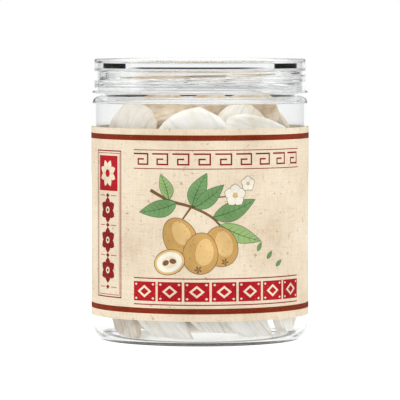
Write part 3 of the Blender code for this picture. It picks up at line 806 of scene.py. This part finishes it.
for k in range(7):
    u = FRAME_LEFT + 10.5 * k
    add("red", 0, bar(u, 17.2, u + 9.6, 24.6))
    add("cream", 1, lozenge(u + 4.8, 20.9, 3.0, 2.4))
    add("red", 2, lozenge(u + 4.8, 20.9, 1.8, 1.4))
    add("cream", 1, *(lozenge(u + 4.8 + a, 20.9 + b, 0.6, 0.5) for a in (-3.7, 3.7) for b in (-2.7, 2.7)))
add("deep_red", 0, bar(FRAME_LEFT, 15.7, 45.6, 16.1), bar(FRAME_LEFT, 25.7, 45.6, 26.1))
print(sum(len(found) for found in marks.values()), "marks in the bands, the column, the fret and the tiles")


# %% [markdown]
# ## The drawing
# A drawn edge is the same outline moved outwards and laid under the filled one. A leaf bends along its
# midrib, and its side veins are tapering strokes that start there.

# %% The drawing of loquats
def fruit(u, z, a, b, turn, layer):
    """A loquat with a drawn edge, a lit side, a shaded side, a star-shaped eye and a few freckles."""
    body = oval(u, z, a, b, turn, 0.10)
    add("umber", layer, grown(body, 0.22))
    add("ochre", layer + 1, body)
    add("gold", layer + 2, placed(oval(-0.10 * a, 0.22 * b, 0.66 * a, 0.52 * b, 0.0, 0.1), u, z, turn))
    end = placed([(0.80 * a, 0.0)], u, z, turn)[0]
    add("umber", layer + 3, *rosette(end[0], end[1], 1.5, 5, 0.7, turn))
    spots = random.Random(round(u * 7 + z))
    for _ in range(16):
        t, share = spots.uniform(0, math.tau), math.sqrt(spots.uniform(0.05, 0.75))
        at = placed([(share * a * math.cos(t), share * b * math.sin(t))], u, z, turn)[0]
        add("umber", layer + 3, oval(at[0], at[1], 0.22, 0.12, turn, count=8))


def long_leaf(ink, u, z, length, width, turn, bend, layer):
    """A leaf with a drawn edge, a midrib and slanting side veins."""
    body = leaf(u, z, length, width, turn, bend)
    add("vein", layer, grown(body, 0.18))
    add(ink, layer + 1, body)
    rib = [placed([(length * t, bend * length * t * t)], u, z, turn)[0] for t in (0.0, 0.25, 0.5, 0.75, 0.97)]
    add("vein", layer + 2, stroke(rib, 0.34, 0.12))
    for k in range(1, 7):
        t = 0.08 + 0.125 * k
        half = 0.5 * width * math.sin(math.pi * t ** 0.8)
        for side in (-1, 1):
            ahead = t + 0.09
            root = (length * t, bend * length * t * t)
            tip = (length * ahead, bend * length * ahead ** 2 + side * 0.74 * half)
            add("vein", layer + 2, stroke(placed([root, tip], u, z, turn), 0.16, 0.07, steps=1))


add("umber", 2, stroke([(-19.5, 59.5), (-11.5, 55.5), (-3.0, 53.2), (5.0, 49.0), (9.5, 43.5)], 1.3, 0.8))
add("umber", 2, stroke([(-3.0, 53.2), (4.0, 56.5), (11.5, 57.2)], 0.8, 0.4))
add("umber", 2, stroke([(-3.5, 53.0), (-6.0, 49.5), (-7.5, 47.5)], 0.8, 0.5))
long_leaf("leaf", -9.0, 54.8, 15.5, 6.6, 206.0, -0.22, 3)
long_leaf("pale_leaf", -12.0, 56.0, 10.0, 5.0, 98.0, 0.20, 3)
long_leaf("leaf", -3.0, 53.6, 13.5, 6.4, 76.0, -0.18, 3)
long_leaf("leaf", 5.0, 49.4, 18.0, 7.2, 12.0, 0.16, 6)
long_leaf("pale_leaf", 7.5, 46.5, 18.0, 6.6, -32.0, 0.20, 9)
long_leaf("leaf", -2.0, 53.0, 14.0, 5.8, 30.0, 0.14, 9)
fruit(-8.0, 42.0, 7.4, 6.2, -60.0, 13)
fruit(8.0, 38.2, 7.6, 6.4, -76.0, 13)
fruit(0.2, 35.6, 7.8, 6.6, -98.0, 18)

HALF = oval(-11.8, 32.2, 6.0, 4.6, 16.0)
add("umber", 23, grown(HALF, 0.25))
add("gold", 24, HALF)
add("white", 25, oval(-11.8, 32.2, 5.1, 3.8, 16.0))
add("cream", 26, oval(-11.8, 32.2, 3.2, 2.2, 16.0))
add("umber", 27, oval(-13.2, 31.9, 1.35, 1.0, 30.0), oval(-10.4, 32.6, 1.35, 1.0, -8.0))

for u, z, size in ((13.6, 57.6, 4.3), (18.8, 62.0, 2.9)):
    for k in range(5):
        petal = leaf(u, z, size, 0.86 * size, 90.0 + 72.0 * k, fullness=1.5)
        add("umber", 12, grown(petal, 0.16))
        add("white", 13, petal)
    add("gold", 14, oval(u, z, 0.24 * size, 0.24 * size))
    add("umber", 15, *(oval(u + 0.16 * size * math.cos(t), z + 0.16 * size * math.sin(t), 0.14, 0.14, count=6)
                       for t in (0.4, 1.7, 2.9, 4.2, 5.5)))
for k in range(3):
    add("leaf", 4, leaf(23.0 + 4.4 * k, 36.0 - 3.0 * k, 4.2, 1.9, 64.0 - 14.0 * k))
print({name: len(found) for name, found in marks.items()})

# %% [markdown]
# ## The back and the inks
# The back of a label holds a ruled panel and a plain scattered motif. Every ink is one material and one
# object, and its colour comes from one table, so the whole print can be toned in one place.

# %% Back of the sheet
add("deep_red", 0, *border(72.0, 17.6, 118.0, 74.2, 0.45), *border(73.0, 18.6, 117.0, 73.2, 0.22))
for k in range(7):
    add("deep_red", 0, bar(76.0, 26.0 + 6.4 * k, 114.0, 26.2 + 6.4 * k))
add("red", 0, bar(74.4, 67.0, 115.6, 71.8))
add("cream", 1, *(lozenge(78.5 + 4.7 * k, 69.4, 1.5, 1.2) for k in range(8)))
for row in range(5):
    for k in range(5 - row % 2):
        u = -116.0 + 9.6 * k + 4.8 * (row % 2) + 2.4
        add("deep_red", 0, *rosette(u, 24.0 + 10.8 * row, 2.9, 4, 2.0, 45.0))
print(sum(len(found) for found in marks.values()), "marks with the drawing and the back")

# %% Inks
INKS = {
    "band": (0.165, 0.018, 0.003), "margin": (0.66, 0.54, 0.40), "red": (0.345, 0.006, 0.012),
    "deep_red": (0.21, 0.010, 0.010), "cream": (0.66, 0.57, 0.43), "ochre": (0.46, 0.275, 0.090),
    "gold": (0.60, 0.40, 0.165), "umber": (0.16, 0.085, 0.035), "leaf": (0.145, 0.275, 0.105),
    "pale_leaf": (0.27, 0.40, 0.15), "vein": (0.055, 0.115, 0.055), "white": (0.72, 0.68, 0.58),
}
for name, colour in INKS.items():
    print_ink("print_" + name, marks[name], ink_of("ink_" + name, colour))

# %% [markdown]
# ## Stage and light
# A clear jar is lit by what stands round it. The room is white all over, which is the softest light there is,
# and a few black cards stand in it. Only mirrored and bent rays see the cards, so they draw the dark lines of
# the lid and the neck and leave the slices and the paper evenly lit. Lamps would leave hard glints instead.
# The floor is pale and glows a little, which lifts the shade under the jar. A narrow ring where the jar's
# foot stands on it is a painted shadow, dark in colour and in glow, and that is the thin dark line at the
# jar's base.

# %% Floor
FLOOR_R = 1.5
floor_bm = bmesh.new()
bmesh.ops.create_circle(floor_bm, cap_ends=True, segments=96, radius=FLOOR_R)
floor_mesh = bpy.data.meshes.new("floor")
floor_bm.to_mesh(floor_mesh)
floor_bm.free()
floor = bpy.data.objects.new("floor", floor_mesh)
bpy.context.scene.collection.objects.link(floor)
floor.location = (0.0, 0.0, -0.1 * MM)
print("floor", FLOOR_R, "m in radius")

# %% Pale floor, its glow and its painted shadow ring
FLOOR_GLOW = 0.72
FLOOR_PALE, PAINTED_FOOT_SHADOW = (0.42, 0.42, 0.42), (0.02, 0.02, 0.02)
floor_material, floor_shader = shader_of("pale_floor")
floor_shader.inputs["Roughness"].default_value = 0.9
# The glow is painted light, which lifts the shade under the jar.
floor_shader.inputs["Emission Strength"].default_value = FLOOR_GLOW
floor_mesh.materials.append(floor_material)
tree = floor_material.node_tree
apart = add_node(tree, "ShaderNodeVectorMath", operation="LENGTH")
tree.links.new(coordinates(tree), apart.inputs[0])
# The painted shadow: a dark ring in the floor's colour and glow round the edge of the jar's foot.
inside_foot = smooth_step(tree, apart.outputs["Value"], FOOT_R - 2.6 * MM, FOOT_R - 3.3 * MM)
outside_foot = smooth_step(tree, apart.outputs["Value"], FOOT_R + 0.3 * MM, FOOT_R + 1.0 * MM)
open_floor = math_node(tree, "MAXIMUM", inside_foot, outside_foot)
tree.links.new(mix_node(tree, open_floor, PAINTED_FOOT_SHADOW, WHITE), floor_shader.inputs["Emission Color"])
tree.links.new(mix_node(tree, open_floor, PAINTED_FOOT_SHADOW, FLOOR_PALE), floor_shader.inputs["Base Color"])
print("floor finish has", len(tree.nodes), "nodes")

# %% White room
world = bpy.data.worlds.new("studio")
bpy.context.scene.world = world
world.use_nodes = True
tree = world.node_tree
background = tree.nodes["Background"]
path = add_node(tree, "ShaderNodeLightPath")
facing_in = add_node(tree, "ShaderNodeSeparateXYZ")
tree.links.new(coordinates(tree, "Generated"), facing_in.inputs[0])
east, north, up = facing_in.outputs
azimuth = math_node(tree, "ARCTAN2", east, north)


def window(value, rise, fall):
    """1 between two soft edges, each given as (outer, inner), and 0 outside them."""
    return math_node(tree, "MULTIPLY", smooth_step(tree, value, *rise), smooth_step(tree, value, *fall))


def dark_card(left, right, bottom, top, depth):
    """How dark a card makes each direction. Its sides are azimuths from the back, its edges heights."""
    seen = math_node(tree, "MULTIPLY", window(azimuth, left, right), window(up, bottom, top))
    return math_node(tree, "MULTIPLY", seen, depth)


# %% Cards behind the jar, overhead and behind the camera
CARDS = (
    # the bars at the ends of the lid's plate
    ((0.60, 0.62), (1.05, 1.03), (-0.0175, -0.0165), (0.05, 0.04), 1.0),
    ((-1.05, -1.03), (-0.60, -0.62), (-0.0175, -0.0165), (0.05, 0.04), 1.0),
    # the line between them
    ((-0.60, -0.25), (0.60, 0.41), (0.006, 0.009), (0.040, 0.034), 1.0),
    # low lines in the neck
    ((-1.25, -1.15), (1.25, 1.15), (0.055, 0.065), (0.13, 0.12), 1.0),
    # overhead, all round, for the edges of the lid and the shoulder
    ((-4.0, -3.9), (4.0, 3.9), (0.24, 0.28), (0.58, 0.52), 0.45),
    # behind the camera, right and left
    ((1.7, 2.0), (4.0, 3.9), (-0.30, -0.20), (0.45, 0.35), 0.75),
    ((-4.0, -3.9), (-1.7, -2.0), (-0.30, -0.20), (0.45, 0.35), 0.75),
)
MIRRORED_CARDS = (
    ((0.50, 0.60), (1.80, 1.70), (-0.09, -0.07), (0.10, 0.08), 1.0),
    ((-1.80, -1.70), (-0.50, -0.60), (-0.09, -0.07), (0.10, 0.08), 1.0),
)
dark = dark_card(*CARDS[0])
for card in CARDS[1:]:
    dark = math_node(tree, "MAXIMUM", dark, dark_card(*card))
for card in MIRRORED_CARDS:
    seen = math_node(tree, "MULTIPLY", dark_card(*card), path.outputs["Is Reflection Ray"])
    dark = math_node(tree, "MAXIMUM", dark, seen)
print(len(CARDS), "cards, and", len(MIRRORED_CARDS), "that only reflections see")

# %% Light of the room
ROOM_LIGHT = (1.35, 1.35, 1.35)
by_plastic = math_node(tree, "MAXIMUM", path.outputs["Is Glossy Ray"], path.outputs["Is Transmission Ray"])
studio = mix_node(tree, dark, WHITE, (0.0, 0.0, 0.0))
lit = mix_node(tree, path.outputs["Is Camera Ray"], ROOM_LIGHT, WHITE)
tree.links.new(mix_node(tree, by_plastic, lit, studio), background.inputs["Color"])
background.inputs["Strength"].default_value = 1.0
print("room has", len(tree.nodes), "nodes")

# %% [markdown]
# ## Camera
# The photograph is taken from a little above the lid with a long lens, so the bands of the label curve only
# slightly. Clear plastic needs many bounces: a ray through the lid and the neck crosses eight surfaces.

# %% Camera, at the photograph's angle
EYE = Vector((0.0, -1.35, 0.122))
AIM = Vector((0.0, 0.0, 0.0538))
camera_data = bpy.data.cameras.new("camera")
camera_data.lens = 311.0
camera_data.sensor_width = 36.0
camera_data.clip_end = 20.0
camera = bpy.data.objects.new("camera", camera_data)
bpy.context.scene.collection.objects.link(camera)
camera.location = EYE
camera.rotation_euler = (AIM - EYE).to_track_quat("-Z", "Y").to_euler()
bpy.context.scene.camera = camera
bpy.context.scene.view_settings.view_transform = "Standard"
CLEAR_BOUNCES = 32
bpy.context.scene.cycles.max_bounces = CLEAR_BOUNCES
bpy.context.scene.cycles.transmission_bounces = CLEAR_BOUNCES
bpy.context.scene.cycles.glossy_bounces = CLEAR_BOUNCES
print("camera", round((AIM - EYE).length, 3), "m from its aim")
